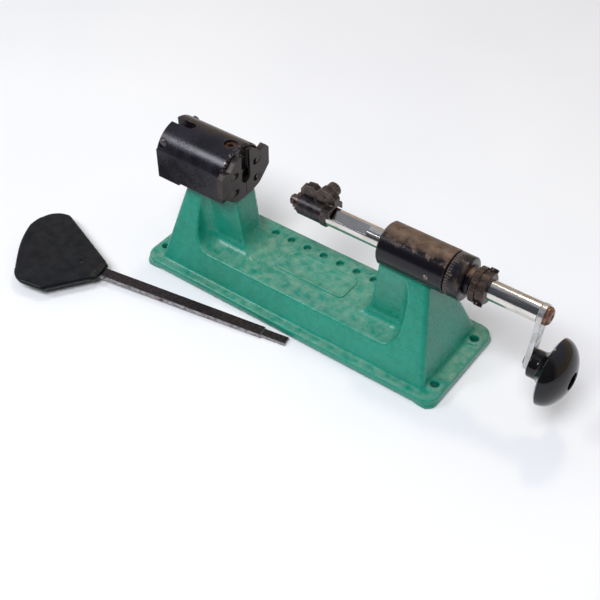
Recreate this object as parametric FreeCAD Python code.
import os
from math import atan2, cos, degrees, radians, sin, sqrt, tan

import FreeCAD
import Part

V = FreeCAD.Vector
X = V(1, 0, 0)
Y = V(0, 1, 0)
Z = V(0, 0, 1)

# Cast base, seen from above: a flange on four foot pads carries a hollow plinth.
BASE_LENGTH = 232.2
BASE_WIDTH = 79.1
BASE_CORNER_RADIUS = 10.0
PAD_HEIGHT = 1.5
FLANGE_TOP = 7.1
DECK_TOP = 22.9
BENCH_HOLE_X = 108.8
BENCH_HOLE_Y = 24.1
BENCH_HOLE_RADIUS = 2.75
BOSS_RADIUS = 5.6
BOSS_TOP = 8.0
WALL_FOOT_Y = 33.5
WALL_SLOPE = 0.4
CORE_HALF_DEPTH = 10.2
LEFT_TOWER_TOP = 65.5
RIGHT_TOWER_TOP = 67.9
FLARE_RADIUS = 14.0
PILOT_HOLE_RADIUS = 2.5
PILOT_HOLE_DEPTH = 3.5
PILOT_HOLE_FIRST_X = -45.2
PILOT_HOLE_PITCH = 13.375
PILOT_HOLE_COUNT = 8
PILOT_HOLE_Y = 18.5

# The line that the spindle and the case holder share.
SPINDLE_Z = 77.6
SHAFT_RADIUS = 6.35
SHAFT_START = -4.0
SHAFT_END = 156.9
SHAFT_FLAT_END = 42.0
SHAFT_FLAT_HEIGHT = 5.35

# Case holder head on the left tower.
HEAD_START = -112.8
HEAD_END = -58.4
HEAD_TOP_RADIUS = 21.3
HEAD_HALF_WIDTH = 19.7
HEAD_SEAT_Z = 65.5
HEAD_SKIRT_Z = 63.7
HEAD_SKIRT_END = -95.3
LEVER_SLOT_WIDTH = 6.6
LEVER_SLOT_END = -95.0
LEVER_SLOT_FLOOR = 72.0
HEAD_SCREW_X = (-80.5, -68.0)
LEVER_PIN_X = -109.0
LEVER_PIN_Z = 90.0
LEVER_PIN_RADIUS = 2.9
STOP_SCREW_X = -65.5
STOP_SCREW_SEAT_Z = 93.8
PLUNGER_ROD_RADIUS = 4.0
PLUNGER_FLANGE_RADIUS = 6.4
SPRING_ROOM_START = -96.0
SPRING_ROOM_END = -78.0
WEDGE_START = -72.0
WEDGE_SHOULDER = -58.2
WEDGE_TIP = -57.6
WEDGE_HALF_WIDTH = 7.0
WEDGE_TIP_HALF_WIDTH = 6.4
WEDGE_HALF_HEIGHT = 3.5

# Jaw plates.
JAW_BACK = -58.1
JAW_FACE = -54.0
JAW_SPLIT = 0.3
JAW_TRAVEL = 3.0
JAW_SCREWS = ((-12.9, 84.0), (-12.9, 71.0), (12.9, 84.0), (12.9, 71.0))
JAW_SCREW_HEAD_RADIUS = 2.3
CASE_SLOT_HALF_WIDTH = 4.4
RIM_GROOVE_RADIUS = 6.4

# Spindle housing and its collars on the right tower.
HOUSING_START = 53.8
HOUSING_END = 99.6
HOUSING_RADIUS = 14.06
HOUSING_SCREW_X = (67.5, 80.5)
NECK_RADIUS = 8.7
NECK_END = 114.2
COLLAR_START = 100.3
COLLAR_END = 110.6
COLLAR_RADIUS = 13.9
BUSH_RADIUS = 8.0
STOP_SCREW_TILT = 41.0
BUSH_LENGTH = 14.0
RUNNING_GAP = 0.05

# Cutter blade holder.
HOLDER_SCREW_X = 8.6
HOLDER_SCREW_Z = 91.2

# Crank.
ARM_THICKNESS = 3.3
ARM_WIDTH = 9.25
KNOB_Y = -8.28
KNOB_Z = 46.65
KNOB_START = 160.5
KNOB_PIN_RADIUS = 3.2

# Hand lever lying on the bench.
LEVER_ANGLE = 10.3
LEVER_PIVOT_X = -129.5
LEVER_PIVOT_Y = -69.45
LEVER_BAR_WIDTH = 7.9
LEVER_BAR_DEPTH = 3.0
LEVER_BAR_START = -30.0
LEVER_BAR_END = 125.1
LEVER_TIP = 142.4
LEVER_FALL = 0.0262
PADDLE_WAIST_Z = 7.0
PADDLE_TOP_Z = 9.6
LEVER_RIVET_X = -14.0
LEVER_RIVET_RADIUS = 1.5


def box(x0, x1, y0, y1, z0, z1):
    return Part.makeBox(x1 - x0, y1 - y0, z1 - z0, V(x0, y0, z0))


def rod_x(x0, x1, radius, y=0.0, z=SPINDLE_Z):
    return Part.makeCylinder(radius, x1 - x0, V(x0, y, z), X)


def rod_y(y0, y1, radius, x, z):
    return Part.makeCylinder(radius, y1 - y0, V(x, y0, z), Y)


def rod_z(z0, z1, radius, x, y):
    return Part.makeCylinder(radius, z1 - z0, V(x, y, z0), Z)


def outline(corners, radii):
    """Closed wire through 3-D corners, each corner rounded by its radius."""
    count = len(corners)
    starts = []
    ends = []
    middles = []
    for i in range(count):
        corner = corners[i]
        to_last = (corners[i - 1] - corner).normalize()
        to_next = (corners[(i + 1) % count] - corner).normalize()
        half = to_last.getAngle(to_next) / 2
        radius = radii[i]
        reach = radius / tan(half)
        centre_way = (to_last + to_next).normalize()
        starts.append(corner + to_last * reach)
        ends.append(corner + to_next * reach)
        middles.append(corner + centre_way * (radius / sin(half) - radius))
    edges = []
    for i in range(count):
        if radii[i] > 0:
            edges.append(Part.Arc(starts[i], middles[i], ends[i]).toShape())
        following = starts[(i + 1) % count]
        if (following - ends[i]).Length > 1e-6:
            edges.append(Part.makeLine(ends[i], following))
    return Part.Wire(edges)


def prism_y(points, radii, y0, y1):
    """Side profile in X and Z, carried from y0 to y1."""
    corners = [V(p[0], y0, p[1]) for p in points]
    return Part.Face(outline(corners, radii)).extrude(V(0, y1 - y0, 0))


def prism_x(points, radii, x0, x1):
    """End profile in Y and Z, carried from x0 to x1."""
    corners = [V(x0, p[0], p[1]) for p in points]
    return Part.Face(outline(corners, radii)).extrude(V(x1 - x0, 0, 0))


def prism_z(points, radii, z0, z1):
    """Plan profile in X and Y, carried from z0 to z1."""
    corners = [V(p[0], p[1], z0) for p in points]
    return Part.Face(outline(corners, radii)).extrude(V(0, 0, z1 - z0))


def rounded_plan(x0, x1, y0, y1, radius, z0, z1):
    points = [(x0, y0), (x1, y0), (x1, y1), (x0, y1)]
    return prism_z(points, [radius] * 4, z0, z1)


def mirrored_y(shape):
    return shape.mirror(V(0, 0, 0), Y)


def wall_y(z):
    """How far the sloping front or back wall stands out at height z."""
    return WALL_FOOT_Y - WALL_SLOPE * (z - FLANGE_TOP)


def fillet(shape, radius, wanted):
    edges = [e for e in shape.Edges if wanted(e)]
    return shape.makeFillet(radius, edges)


def middle(edge):
    return edge.valueAt((edge.FirstParameter + edge.LastParameter) / 2)


def turned(points, start, way):
    """Solid of revolution about a line from start along way, from (distance, radius) points."""
    side = V(0, 1, 0) if abs(way.y) < 0.5 else V(1, 0, 0)
    path = [start + way * p[0] + side * p[1] for p in points]
    path.append(path[0])
    face = Part.Face(Part.makePolygon(path))
    return face.revolve(start, way, 360)


def save(node, shape):
    shape = shape.removeSplitter()
    shape.exportStep("parts/" + node + ".step")


def casting_block():
    """Plinth and both towers before the pockets: side profile cut by the sloping walls."""
    side = [
        (-104.9, 2.0), (-94.6, LEFT_TOWER_TOP), (-55.7, LEFT_TOWER_TOP), (-49.3, DECK_TOP),
        (50.0, DECK_TOP), (54.9, RIGHT_TOWER_TOP), (89.2, RIGHT_TOWER_TOP), (107.2, 2.0),
    ]
    side_radii = [0, 0, 0, FLARE_RADIUS, FLARE_RADIUS, 0, 0, 0]
    lengthwise = prism_y(side, side_radii, -45, 45)
    end = [
        (-wall_y(2.0), 2.0), (-wall_y(70.0), 70.0), (wall_y(70.0), 70.0), (wall_y(2.0), 2.0),
    ]
    crosswise = prism_x(end, [0] * 4, -120, 120)
    block = lengthwise.common(crosswise)

    def outer_corner(edge):
        m = middle(edge)
        return abs(m.x) > 90 and abs(m.y) > 8 and edge.BoundBox.ZLength > 40

    return fillet(block, 3.0, outer_corner)


def tower_pocket(inner_top, inner_foot, way, top):
    """Pocket in front of a tower core; its far corner against the web is rounded."""
    far = 10.0 * way
    points = [
        (inner_top, top + 6), (inner_foot, DECK_TOP), (far, DECK_TOP), (far, top + 6),
    ]
    block = prism_y(points, [0, 12.0, 0, 0], -60, -CORE_HALF_DEPTH)

    def inner_corner(edge):
        m = middle(edge)
        on_core_plane = abs(edge.BoundBox.YMin + CORE_HALF_DEPTH) < 0.01
        on_core_plane = on_core_plane and edge.BoundBox.YLength < 0.01
        near_web = abs(m.x - inner_foot) < 14
        return on_core_plane and near_web and m.z < top + 5.9

    return fillet(block, 8.0, inner_corner)


def badge_frame():
    outer = rounded_plan(-25.0, 28.0, -9.0, 9.7, 4.0, DECK_TOP - 1.0, DECK_TOP + 0.7)
    inner = rounded_plan(-23.6, 26.6, -7.6, 8.3, 2.8, DECK_TOP - 2.0, DECK_TOP + 1.7)
    return outer.cut(inner)


def base_casting():
    flange = rounded_plan(
        -BASE_LENGTH / 2, BASE_LENGTH / 2, -BASE_WIDTH / 2, BASE_WIDTH / 2,
        BASE_CORNER_RADIUS, PAD_HEIGHT, FLANGE_TOP)

    def top_rim(edge):
        return edge.BoundBox.ZMin > FLANGE_TOP - 0.01

    flange = fillet(flange, 1.8, top_rim)
    body = flange.fuse(casting_block())
    pockets = [
        tower_pocket(-86.0, -77.8, 1, LEFT_TOWER_TOP),
        tower_pocket(80.0, 80.0, -1, RIGHT_TOWER_TOP),
    ]
    for pocket in pockets:
        body = body.cut(pocket)
        body = body.cut(mirrored_y(pocket))
    for sx in (-1, 1):
        for sy in (-1, 1):
            x = sx * BENCH_HOLE_X
            y = sy * BENCH_HOLE_Y
            pad_x = sorted([sx * (BASE_LENGTH / 2 - 16.0), sx * BASE_LENGTH / 2])
            pad_y = sorted([sy * 17.5, sy * BASE_WIDTH / 2])
            pad = rounded_plan(pad_x[0], pad_x[1], pad_y[0], pad_y[1], 7.0, 0, PAD_HEIGHT + 0.5)
            body = body.fuse(pad)
            body = body.fuse(rod_z(PAD_HEIGHT + 0.5, BOSS_TOP, BOSS_RADIUS, x, y))
    body = body.fuse(badge_frame())
    body = body.cut(rounded_plan(-97.5, 99.5, -26.0, 26.0, 6.0, -1, 17.6))
    body = body.cut(rounded_plan(-87.0, -61.5, -5.6, 5.6, 3.0, 17, 52))
    body = body.cut(rounded_plan(61.0, 87.0, -5.6, 5.6, 3.0, 17, 50))
    body = body.cut(box(HEAD_END - 0.3, -50, -15, 15, 62.4, 70))
    for sx in (-1, 1):
        for sy in (-1, 1):
            hole = rod_z(-1, BOSS_TOP + 1, BENCH_HOLE_RADIUS, sx * BENCH_HOLE_X, sy * BENCH_HOLE_Y)
            body = body.cut(hole)
    for i in range(PILOT_HOLE_COUNT):
        x = PILOT_HOLE_FIRST_X + i * PILOT_HOLE_PITCH
        hole = rod_z(DECK_TOP - PILOT_HOLE_DEPTH, DECK_TOP + 1, PILOT_HOLE_RADIUS, x, PILOT_HOLE_Y)
        body = body.cut(hole)
    body = body.cut(rod_x(40, 110, HOUSING_RADIUS))
    for x in HEAD_SCREW_X:
        body = body.cut(rod_z(48, 70, 3.1, x, 0))
    for x in HOUSING_SCREW_X:
        body = body.cut(rod_z(46, 70, 3.1, x, 0))
    return body


def hexagon(centre, across_corners, way, depth):
    """Six-sided socket cutter starting at centre and running along way."""
    side = V(1, 0, 0) if abs(way.x) < 0.5 else V(0, 1, 0)
    up = way.cross(side)
    reach = across_corners / 2
    points = []
    for i in range(7):
        a = radians(60 * i)
        points.append(centre + side * (reach * cos(a)) + up * (reach * sin(a)))
    return Part.Face(Part.makePolygon(points)).extrude(way * depth)


def screws_from_below(positions, head_bottom, tip):
    """Socket screws put in from the hollow underside, sockets facing down."""
    screws = []
    for x in positions:
        head = rod_z(head_bottom, head_bottom + 5.0, 4.6, x, 0)
        shank = rod_z(head_bottom + 5.0, tip, 2.95, x, 0)
        screw = head.fuse(shank).cut(hexagon(V(x, 0, head_bottom), 5.6, Z, 2.8))
        screws.append(screw)
    return Part.makeCompound(screws)


def head_profile(bottom):
    """End section of the head: a round top on two upright sides."""
    rise = sqrt(HEAD_TOP_RADIUS ** 2 - HEAD_HALF_WIDTH ** 2)
    left = V(HEAD_START, -HEAD_HALF_WIDTH, SPINDLE_Z + rise)
    right = V(HEAD_START, HEAD_HALF_WIDTH, SPINDLE_Z + rise)
    crown = V(HEAD_START, 0, SPINDLE_Z + HEAD_TOP_RADIUS)
    foot_left = V(HEAD_START, -HEAD_HALF_WIDTH, bottom)
    foot_right = V(HEAD_START, HEAD_HALF_WIDTH, bottom)
    edges = [
        Part.Arc(left, crown, right).toShape(), Part.makeLine(right, foot_right),
        Part.makeLine(foot_right, foot_left), Part.makeLine(foot_left, left),
    ]
    return Part.Face(Part.Wire(edges))


def crown_chamfer(x, way):
    """Cutter that bevels the round top's rim at one end of the head."""
    top = HEAD_TOP_RADIUS
    points = [(-0.1, top - 1.0), (1.0, top + 0.1), (1.0, top + 4), (-0.1, top + 4)]
    ring = turned(points, V(x, 0, SPINDLE_Z), V(way, 0, 0))
    return ring.common(box(x - 5, x + 5, -40, 40, SPINDLE_Z + 8.2, 120))


def head_body():
    body = head_profile(HEAD_SEAT_Z).extrude(V(HEAD_END - HEAD_START, 0, 0))
    skirt = head_profile(HEAD_SKIRT_Z).extrude(V(HEAD_SKIRT_END - HEAD_START, 0, 0))
    body = body.fuse(skirt).removeSplitter()

    for x, way in ((HEAD_START, 1), (HEAD_END, -1)):
        body = body.cut(crown_chamfer(x, way))
    half = LEVER_SLOT_WIDTH / 2
    slot_end = LEVER_SLOT_END - half
    body = body.cut(box(HEAD_START - 1, slot_end, -half, half, LEVER_SLOT_FLOOR, 110))
    body = body.cut(rod_z(LEVER_SLOT_FLOOR, 110, half, slot_end, 0))
    body = body.cut(rod_y(-30, 30, LEVER_PIN_RADIUS, LEVER_PIN_X, LEVER_PIN_Z))
    body = body.cut(rod_x(SPRING_ROOM_START, SPRING_ROOM_END, PLUNGER_FLANGE_RADIUS + RUNNING_GAP))
    body = body.cut(rod_x(SPRING_ROOM_END - 1, HEAD_END + 1, PLUNGER_ROD_RADIUS + RUNNING_GAP))
    side = WEDGE_HALF_WIDTH + 0.2
    rise = WEDGE_HALF_HEIGHT + 0.2
    body = body.cut(box(WEDGE_START - 0.8, HEAD_END + 1, -side, side, SPINDLE_Z - rise, SPINDLE_Z + rise))
    body = body.cut(rod_z(SPINDLE_Z + 2, 110, 2.5, STOP_SCREW_X, 0))
    body = body.cut(rod_z(STOP_SCREW_SEAT_Z, 110, 4.5, STOP_SCREW_X, 0))
    for y, z in JAW_SCREWS:
        body = body.cut(rod_x(-66.0, HEAD_END + 1, 1.5, y, z))
    for x in HEAD_SCREW_X:
        body = body.cut(rod_z(60, 70.0, 2.95, x, 0))
    return body


def lever_pin():
    pin = rod_y(-17.1, 17.1, LEVER_PIN_RADIUS, LEVER_PIN_X, LEVER_PIN_Z)
    return pin.makeChamfer(0.5, [e for e in pin.Edges if e.BoundBox.YLength < 0.01])


def stop_screw():
    head = rod_z(STOP_SCREW_SEAT_Z, STOP_SCREW_SEAT_Z + 3.4, 4.15, STOP_SCREW_X, 0)
    shank = rod_z(81.6, STOP_SCREW_SEAT_Z, 2.5, STOP_SCREW_X, 0)
    tip = rod_z(79.5, 81.6, 2.0, STOP_SCREW_X, 0)
    socket = hexagon(V(STOP_SCREW_X, 0, STOP_SCREW_SEAT_Z + 3.4), 4.6, V(0, 0, -1), 2.2)
    return head.fuse(shank).fuse(tip).cut(socket)


def wedge_plunger():
    """Flanged push rod whose flat wedge parts the two jaws."""
    flange = rod_x(-94.6, -91.6, PLUNGER_FLANGE_RADIUS)
    stem = rod_x(-91.6, WEDGE_START + 1, PLUNGER_ROD_RADIUS)
    plan = [
        (WEDGE_START, -WEDGE_HALF_WIDTH), (WEDGE_SHOULDER, -WEDGE_HALF_WIDTH),
        (WEDGE_TIP, -WEDGE_TIP_HALF_WIDTH), (WEDGE_TIP, WEDGE_TIP_HALF_WIDTH),
        (WEDGE_SHOULDER, WEDGE_HALF_WIDTH), (WEDGE_START, WEDGE_HALF_WIDTH),
    ]
    low = SPINDLE_Z - WEDGE_HALF_HEIGHT
    blade = prism_z(plan, [0] * 6, low, low + 2 * WEDGE_HALF_HEIGHT)
    groove = box(STOP_SCREW_X - 5.3, STOP_SCREW_X + 2.3, -2.3, 2.3, 79.2, 90)
    return flange.fuse(stem).fuse(blade).cut(groove)


def coil_spring(x0, x1, mean_radius, wire_radius, turns):
    """Helical spring along the spindle line."""
    pitch = (x1 - x0) / turns
    helix = Part.makeHelix(pitch, x1 - x0, mean_radius)
    ring = Part.Wire([Part.Circle(V(mean_radius, 0, 0), Y, wire_radius).toShape()])
    coil = Part.Wire(helix.Edges).makePipeShell([ring], True, True)
    coil.rotate(V(0, 0, 0), Y, 90)
    coil.translate(V(x0, 0, SPINDLE_Z))
    return coil


def jaw(side):
    """One of two plates; side is -1 for the front one and 1 for the back one."""
    points = [
        (JAW_SPLIT, 62.9), (5.0, 62.9), (13.6, 65.0), (24.0, 74.2), (24.0, 87.6), (20.6, 91.2),
        (15.6, 89.0), (9.0, 94.6), (JAW_SPLIT, 96.2),
    ]
    plate = prism_x(points, [0, 4, 4, 2, 1, 1, 0.8, 9, 0], JAW_BACK, JAW_FACE)
    plate = plate.cut(box(-70, -40, -1, CASE_SLOT_HALF_WIDTH, SPINDLE_Z, 110))
    plate = plate.cut(rod_x(-70, -40, CASE_SLOT_HALF_WIDTH))
    plate = plate.cut(box(JAW_FACE - 2.2, JAW_FACE - 0.8, -1, RIM_GROOVE_RADIUS, SPINDLE_Z, 110))
    plate = plate.cut(rod_x(JAW_FACE - 2.2, JAW_FACE - 0.8, RIM_GROOVE_RADIUS))
    gap = 0.3
    mouth = WEDGE_SHOULDER - 1.8
    mouth_half_width = WEDGE_HALF_WIDTH + gap + 1.8
    end = WEDGE_TIP + JAW_TRAVEL + gap / 2
    pocket_plan = [
        (mouth, 0), (mouth, mouth_half_width), (end, mouth_half_width - (end - mouth)), (end, 0),
    ]
    rise = WEDGE_HALF_HEIGHT + 0.4
    plate = plate.cut(prism_z(pocket_plan, [0] * 4, SPINDLE_Z - rise, SPINDLE_Z + rise))
    for y, z in JAW_SCREWS:
        if y > 0:
            slot = box(-70, -40, y - JAW_TRAVEL, y, z - 1.75, z + 1.75)
            slot = slot.fuse(rod_x(-70, -40, 1.75, y, z))
            slot = slot.fuse(rod_x(-70, -40, 1.75, y - JAW_TRAVEL, z))
            head_room = JAW_SCREW_HEAD_RADIUS + 0.25
            floor = JAW_FACE - 1.5
            slot = slot.fuse(rod_x(floor, -40, head_room, y, z))
            slot = slot.fuse(rod_x(floor, -40, head_room, y - JAW_TRAVEL, z))
            slot = slot.fuse(box(floor, -40, y - JAW_TRAVEL, y, z - head_room, z + head_room))
            plate = plate.cut(slot)
    if side < 0:
        plate = mirrored_y(plate)
    return plate


def jaw_screws():
    screws = []
    for y, z in JAW_SCREWS:
        shank = rod_x(-65.0, JAW_FACE - 1.35, 1.5, y, z)
        head = rod_x(JAW_FACE - 1.35, JAW_FACE - 0.15, JAW_SCREW_HEAD_RADIUS, y, z)
        drive = box(JAW_FACE - 0.8, JAW_FACE + 1, y - 0.45, y + 0.45, z - 4, z + 4)
        screws.append(shank.fuse(head).cut(drive))
    return Part.makeCompound(screws)


def bearing_housing():
    start = V(HOUSING_START, 0, SPINDLE_Z)
    length = HOUSING_END - HOUSING_START
    neck = NECK_END - HOUSING_START
    profile = [
        (0, SHAFT_RADIUS + 0.4), (0, HOUSING_RADIUS - 1.2), (1.2, HOUSING_RADIUS),
        (length - 0.5, HOUSING_RADIUS), (length, HOUSING_RADIUS - 0.5), (length, NECK_RADIUS),
        (neck - 0.7, NECK_RADIUS), (neck, NECK_RADIUS - 0.7), (neck, SHAFT_RADIUS + 0.4),
    ]
    body = turned(profile, start, X)
    body = body.cut(rod_x(HOUSING_START - 1, HOUSING_START + BUSH_LENGTH, BUSH_RADIUS))
    body = body.cut(rod_x(NECK_END - BUSH_LENGTH, NECK_END + 1, BUSH_RADIUS - 0.5))
    for x in HOUSING_SCREW_X:
        body = body.cut(rod_z(55, 69.3, 2.95, x, 0))
    body = body.cut(rod_y(-20, -9.0, 1.7, 89.0, SPINDLE_Z + 0.4))
    return body


def bush(x0, x1, radius):
    return rod_x(x0, x1, radius).cut(rod_x(x0 - 1, x1 + 1, SHAFT_RADIUS + RUNNING_GAP))


def housing_plug():
    """Short slotted screw that closes the oil hole in the front of the housing."""
    plug = rod_y(-13.6, -9.4, 1.7, 89.0, SPINDLE_Z + 0.4)
    return plug.cut(box(88.7, 89.3, -15, -13.0, SPINDLE_Z - 3, SPINDLE_Z + 4))


def micrometer_collar():
    start = V(COLLAR_START, 0, SPINDLE_Z)
    length = COLLAR_END - COLLAR_START
    profile = [
        (0, NECK_RADIUS + RUNNING_GAP), (0, COLLAR_RADIUS - 0.5), (0.5, COLLAR_RADIUS),
        (length - 0.6, COLLAR_RADIUS), (length, COLLAR_RADIUS - 0.6),
        (length, NECK_RADIUS + 1.6), (length - 1.2, NECK_RADIUS + RUNNING_GAP),
    ]
    body = turned(profile, start, X)
    return body.cut(collar_screw_hole())


def collar_screw_hole():
    return rod_y(-20, -NECK_RADIUS - 0.3, 1.5, 106.5, SPINDLE_Z)


def collar_screw():
    screw = rod_y(-COLLAR_RADIUS + 0.5, -NECK_RADIUS - 0.4, 1.5, 106.5, SPINDLE_Z)
    return screw.cut(hexagon(V(106.5, -COLLAR_RADIUS + 0.5, SPINDLE_Z), 1.9, Y, 1.5))


def thrust_washer():
    return rod_x(NECK_END + 0.1, NECK_END + 0.9, 8.4).cut(
        rod_x(NECK_END, NECK_END + 1, SHAFT_RADIUS + RUNNING_GAP))


def lock_ring():
    """Notched ring that backs up the stop collar."""
    ring = rod_x(115.25, 118.9, 11.2)
    rims = [e for e in ring.Edges if e.Closed and e.BoundBox.XLength < 0.1]
    ring = ring.makeChamfer(0.3, rims)
    ring = ring.cut(rod_x(115, 120, SHAFT_RADIUS))
    for i in range(12):
        a = radians(30 * i + 12)
        notch = rod_x(115, 119.5, 1.15, 11.7 * cos(a), SPINDLE_Z + 11.7 * sin(a))
        ring = ring.cut(notch)
    return ring


def tilted(shape):
    """Swing a shape made along Y about the spindle to the stop screws' own angle."""
    return shape.rotate(V(0, 0, SPINDLE_Z), X, STOP_SCREW_TILT)


def stop_collar():
    start = V(118.95, 0, SPINDLE_Z)
    profile = [
        (0, SHAFT_RADIUS), (0, 9.9), (4.9, 9.9), (5.5, 9.3), (5.5, SHAFT_RADIUS),
    ]
    body = turned(profile, start, X)
    hole = rod_y(-15, 15, 1.7, 121.7, SPINDLE_Z)
    return body.cut(tilted(hole))


def stop_screws():
    screws = []
    for side in (-1, 1):
        shank = rod_y(6.45, 9.95, 1.7, 121.7, SPINDLE_Z)
        head = rod_y(9.95, 11.9, 2.6, 121.7, SPINDLE_Z)
        drive = box(118, 126, 11.2, 14, SPINDLE_Z - 0.35, SPINDLE_Z + 0.35)
        screw = shank.fuse(head).cut(drive)
        if side < 0:
            screw = mirrored_y(screw)
        screws.append(tilted(screw))
    return Part.makeCompound(screws)


def spindle_shaft():
    body = rod_x(SHAFT_START, SHAFT_END, SHAFT_RADIUS)
    end_rim = [e for e in body.Edges if middle(e).x > SHAFT_END - 0.1 and e.Closed]
    body = body.makeChamfer(0.5, end_rim)
    flat = box(SHAFT_START - 1, SHAFT_FLAT_END, -10, 10, SHAFT_FLAT_HEIGHT, 20)
    flat.rotate(V(0, 0, 0), X, 30)
    flat.translate(V(0, 0, SPINDLE_Z))
    body = body.cut(flat)
    return body.cut(rod_x(SHAFT_END - 12, SHAFT_END + 1, 2.5))


def cutter_body():
    start = V(-9.5, 0, SPINDLE_Z)
    profile = [
        (0, 3.6), (0, 6.7), (0.5, 7.2), (18.6, 7.2), (18.6, 7.7), (21.6, 7.7), (21.9, 7.4),
        (21.9, 3.6),
    ]
    body = turned(profile, start, X)
    body = body.cut(rod_x(SHAFT_START - 0.1, 20, SHAFT_RADIUS))
    return body.cut(rod_z(SPINDLE_Z + 5, SPINDLE_Z + 9, 1.7, 1.5, 0))


def cutter_bit():
    """Hollow end mill that trims the case mouth, on a stem inside the cutter body."""
    ring = rod_x(-12.6, -9.5, 6.0)
    stem = rod_x(-9.5, -4.2, 3.6)
    bit = ring.fuse(stem).cut(rod_x(-14, 0, 1.8))
    for i in range(4):
        gullet = box(-13, -11.2, 2.0, 8.0, -1.3, 1.6)
        gullet.rotate(V(0, 0, 0), X, 90 * i + 20)
        gullet.translate(V(0, 0, SPINDLE_Z))
        bit = bit.cut(gullet)
    return bit


def pilot():
    start = V(-17.2, 0, SPINDLE_Z)
    profile = [
        (0, 0), (0, 2.5), (1.0, 3.5), (4.4, 3.5), (4.4, 1.8), (12.0, 1.8), (12.0, 0),
    ]
    return turned(profile, start, X)


def cutter_screw():
    screw = rod_z(SPINDLE_Z + 6.4, SPINDLE_Z + 8.4, 1.7, 1.5, 0)
    return screw.cut(hexagon(V(1.5, 0, SPINDLE_Z + 8.4), 2.0, V(0, 0, -1), 1.2))


def blade_holder():
    """Angle piece over the cutter body: a bar along it and a leg astride its collar."""
    side = [
        (-7.5, 86.4), (9.3, 86.4), (9.3, 79.0), (16.0, 79.0), (16.0, 91.0), (13.0, 94.4),
        (5.2, 95.6), (2.2, 92.0), (-0.6, 94.0), (-6.0, 93.2), (-7.5, 91.2),
    ]
    body = prism_y(side, [0] * 11, -1.0, 4.2)
    leg = box(9.3, 16.0, -7.2, 7.2, 79.0, 86.3)
    leg = fillet(leg, 1.2, lambda e: e.BoundBox.XLength > 5 and middle(e).z > 86)
    body = body.fuse(leg)
    body = body.cut(rod_x(0, 20, 7.75))
    body = body.cut(box(-8.5, -3.2, 0.4, 3.0, 85.0, 92.2))
    return body.cut(rod_y(-3, 6, 1.6, HOLDER_SCREW_X, HOLDER_SCREW_Z))


def deburr_blade():
    side = [(-10.8, 84.0), (-7.7, 86.0), (-3.2, 86.6), (-3.2, 92.1), (-8.2, 92.1), (-10.8, 88.0)]
    return prism_y(side, [0] * 6, 0.5, 2.9)


def holder_screw():
    x = HOLDER_SCREW_X
    z = HOLDER_SCREW_Z
    shank = rod_y(-0.6, 4.2, 1.6, x, z)
    head = rod_y(4.2, 9.4, 4.7, x, z)
    for i in range(16):
        a = radians(22.5 * i)
        head = head.cut(rod_y(4, 10, 0.42, x + 4.85 * cos(a), z + 4.85 * sin(a)))
    drive = box(x - 4, x + 4, 8.4, 10, z - 0.5, z + 0.5)
    return shank.fuse(head).cut(drive)


def crank_arm():
    """Flat bar: a full round eye on the shaft end, narrower down to the knob."""
    reach = sqrt(KNOB_Y ** 2 + (SPINDLE_Z - KNOB_Z) ** 2)
    x0 = SHAFT_END
    x1 = SHAFT_END + ARM_THICKNESS
    half = ARM_WIDTH / 2
    bar = box(x0, x1, -half, half, -reach - 1.0, 0)
    upper = Part.makeCylinder(6.6, x1 - x0, V(x0, 0, 0), X)
    lower = Part.makeCylinder(half, x1 - x0, V(x0, 0, -reach - 1.0), X)
    neck = [V(x0, -6.3, -2.0), V(x0, -half, -9.0), V(x0, half, -9.0), V(x0, 6.3, -2.0)]
    neck.append(neck[0])
    taper = Part.Face(Part.makePolygon(neck)).extrude(V(x1 - x0, 0, 0))
    arm = bar.fuse(upper).fuse(lower).fuse(taper)
    arm = arm.cut(Part.makeCylinder(2.6, 20, V(x0 - 5, 0, 0), X))
    arm = arm.cut(Part.makeCylinder(2.5, 20, V(x0 - 5, 0, -reach), X))
    arm.rotate(V(0, 0, 0), X, -degrees(atan2(-KNOB_Y, SPINDLE_Z - KNOB_Z)))
    arm.translate(V(0, 0, SPINDLE_Z))
    return arm


def crank_screw():
    """Round-headed screw that holds the arm on the end of the shaft."""
    face = SHAFT_END + ARM_THICKNESS
    profile = [
        (-13.0, 0), (-13.0, 2.5), (0, 2.5), (0, 5.75), (1.7, 5.75), (3.0, 4.6), (3.5, 3.0), (3.5, 0),
    ]
    screw = turned(profile, V(face, 0, SPINDLE_Z), X)
    return screw.cut(hexagon(V(face + 3.5, 0, SPINDLE_Z), 4.2, V(-1, 0, 0), 2.4))


def knob_pin():
    """Riveted stud; the knob turns on it."""
    start = V(SHAFT_END - 0.9, KNOB_Y, KNOB_Z)
    arm = ARM_THICKNESS + 0.9
    profile = [
        (0, 0), (0, 3.4), (0.9, 3.4), (0.9, 2.5), (arm, 2.5), (arm, KNOB_PIN_RADIUS),
        (26.2, KNOB_PIN_RADIUS), (26.2, 4.6), (27.6, 4.6), (27.6, 0),
    ]
    return turned(profile, start, X)


def knob():
    """Mushroom knob: a short hub that swells to a lens, with a recess for the stud's head."""
    start = V(KNOB_START, KNOB_Y, KNOB_Z)
    bore = KNOB_PIN_RADIUS + RUNNING_GAP
    profile = [
        (0, bore), (0, 7.3), (0.9, 8.2), (5.2, 8.2), (6.0, 9.3), (7.2, 13.0), (9.0, 16.4),
        (11.2, 19.2), (13.4, 20.8), (15.7, 21.2), (18.0, 20.8), (20.2, 19.2), (22.2, 16.4),
        (24.2, 12.6), (25.6, 8.6), (25.9, 6.2), (25.4, 5.6), (21.6, 5.6), (21.6, bore),
    ]
    return turned(profile, start, X)


def lever_placed(shape):
    """Turn a shape made along X at the origin to where the lever lies."""
    shape.rotate(V(0, 0, 0), Z, LEVER_ANGLE)
    shape.translate(V(LEVER_PIVOT_X, LEVER_PIVOT_Y, 0))
    return shape


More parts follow.
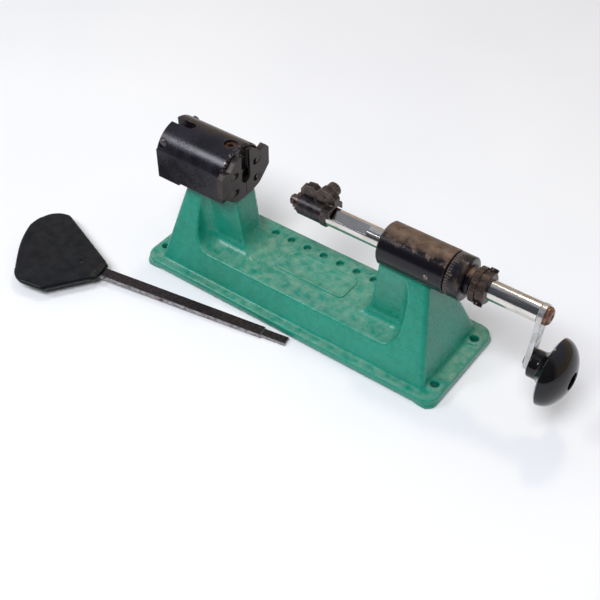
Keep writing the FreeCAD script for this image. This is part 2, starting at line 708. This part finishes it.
def lever_blank():
    """Flat bar that falls from the paddle to its tip, with a stepped, narrower tongue."""
    half = LEVER_BAR_WIDTH / 2
    start_z = (LEVER_TIP - LEVER_BAR_START) * LEVER_FALL
    end_z = (LEVER_TIP - LEVER_BAR_END) * LEVER_FALL
    bar_side = [
        (LEVER_BAR_START, start_z), (LEVER_BAR_END, end_z), (LEVER_BAR_END, end_z + LEVER_BAR_DEPTH),
        (LEVER_BAR_START, start_z + LEVER_BAR_DEPTH),
    ]
    tongue_side = [
        (LEVER_BAR_END - 1, end_z + 0.03), (LEVER_TIP, 0.0), (LEVER_TIP, LEVER_BAR_DEPTH - 0.6),
        (LEVER_BAR_END - 1, end_z + LEVER_BAR_DEPTH - 0.6),
    ]
    bar = prism_y(bar_side, [0] * 4, -half, half)
    return bar.fuse(prism_y(tongue_side, [0, 0.6, 0.6, 0], -half + 0.85, half - 0.85))


def lever_bar():
    hole = rod_z(-1, 14, LEVER_RIVET_RADIUS, LEVER_RIVET_X, 0)
    return lever_placed(lever_blank().cut(hole))


def paddle_outline(scale, z):
    """The paddle's rounded plan at height z, drawn in towards its middle by scale."""
    points = [
        (3.5, 6.3), (-49.5, 38.3), (-74.0, 37.0), (-48.3, -34.5), (-23.0, -34.3), (3.5, -8.2),
    ]
    radii = [0.8, 5.0, 16.0, 16.0, 3.0, 0.8]
    middle_x = -30.0
    middle_y = 2.0
    corners = [
        V(middle_x + (p[0] - middle_x) * scale, middle_y + (p[1] - middle_y) * scale, z) for p in points
    ]
    return outline(corners, [radius * scale for radius in radii])


def lever_paddle():
    """Moulded paddle: flat on top, drawn in underneath, with a pocket for the bar."""
    rim = paddle_outline(1.0, PADDLE_WAIST_Z)
    top = Part.Face(rim).extrude(V(0, 0, PADDLE_TOP_Z - PADDLE_WAIST_Z))
    top = fillet(top, 1.6, lambda e: e.BoundBox.ZMin > PADDLE_TOP_Z - 0.01)
    body = Part.makeLoft([paddle_outline(0.8, 0.0), rim], True, True).fuse(top)
    body = body.cut(lever_blank())
    body = body.cut(rod_z(-1, 14, LEVER_RIVET_RADIUS, LEVER_RIVET_X, 0))
    return lever_placed(body)


def lever_rivet():
    return lever_placed(rod_z(0.9, 8.8, LEVER_RIVET_RADIUS, LEVER_RIVET_X, 0))


os.makedirs("parts", exist_ok=True)
save("base_casting", base_casting())
save("head_body", head_body())
save("head_mount_screws", screws_from_below(HEAD_SCREW_X, 47.0, 69.8))
save("lever_pivot_pin", lever_pin())
save("plunger_stop_screw", stop_screw())
save("wedge_plunger", wedge_plunger())
save("plunger_spring", coil_spring(-91.0, -78.6, 5.25, 0.55, 5))
save("jaw_front", jaw(-1))
save("jaw_back", jaw(1))
save("jaw_screws", jaw_screws())
save("bearing_housing", bearing_housing())
save("housing_screws", screws_from_below(HOUSING_SCREW_X, 45.0, 69.2))
save("housing_oil_plug", housing_plug())
save("front_bush", bush(HOUSING_START, HOUSING_START + BUSH_LENGTH, BUSH_RADIUS))
save("rear_bush", bush(NECK_END - BUSH_LENGTH, NECK_END, BUSH_RADIUS - 0.5))
save("micrometer_collar", micrometer_collar())
save("collar_screw", collar_screw())
save("thrust_washer", thrust_washer())
save("lock_ring", lock_ring())
save("stop_collar", stop_collar())
save("stop_screws", stop_screws())
save("spindle_shaft", spindle_shaft())
save("cutter_body", cutter_body())
save("cutter_bit", cutter_bit())
save("cutter_screw", cutter_screw())
save("pilot", pilot())
save("blade_holder", blade_holder())
save("deburr_blade", deburr_blade())
save("holder_screw", holder_screw())
save("crank_arm", crank_arm())
save("crank_screw", crank_screw())
save("knob_pin", knob_pin())
save("knob", knob())
save("lever_bar", lever_bar())
save("lever_paddle", lever_paddle())
save("lever_rivet", lever_rivet())
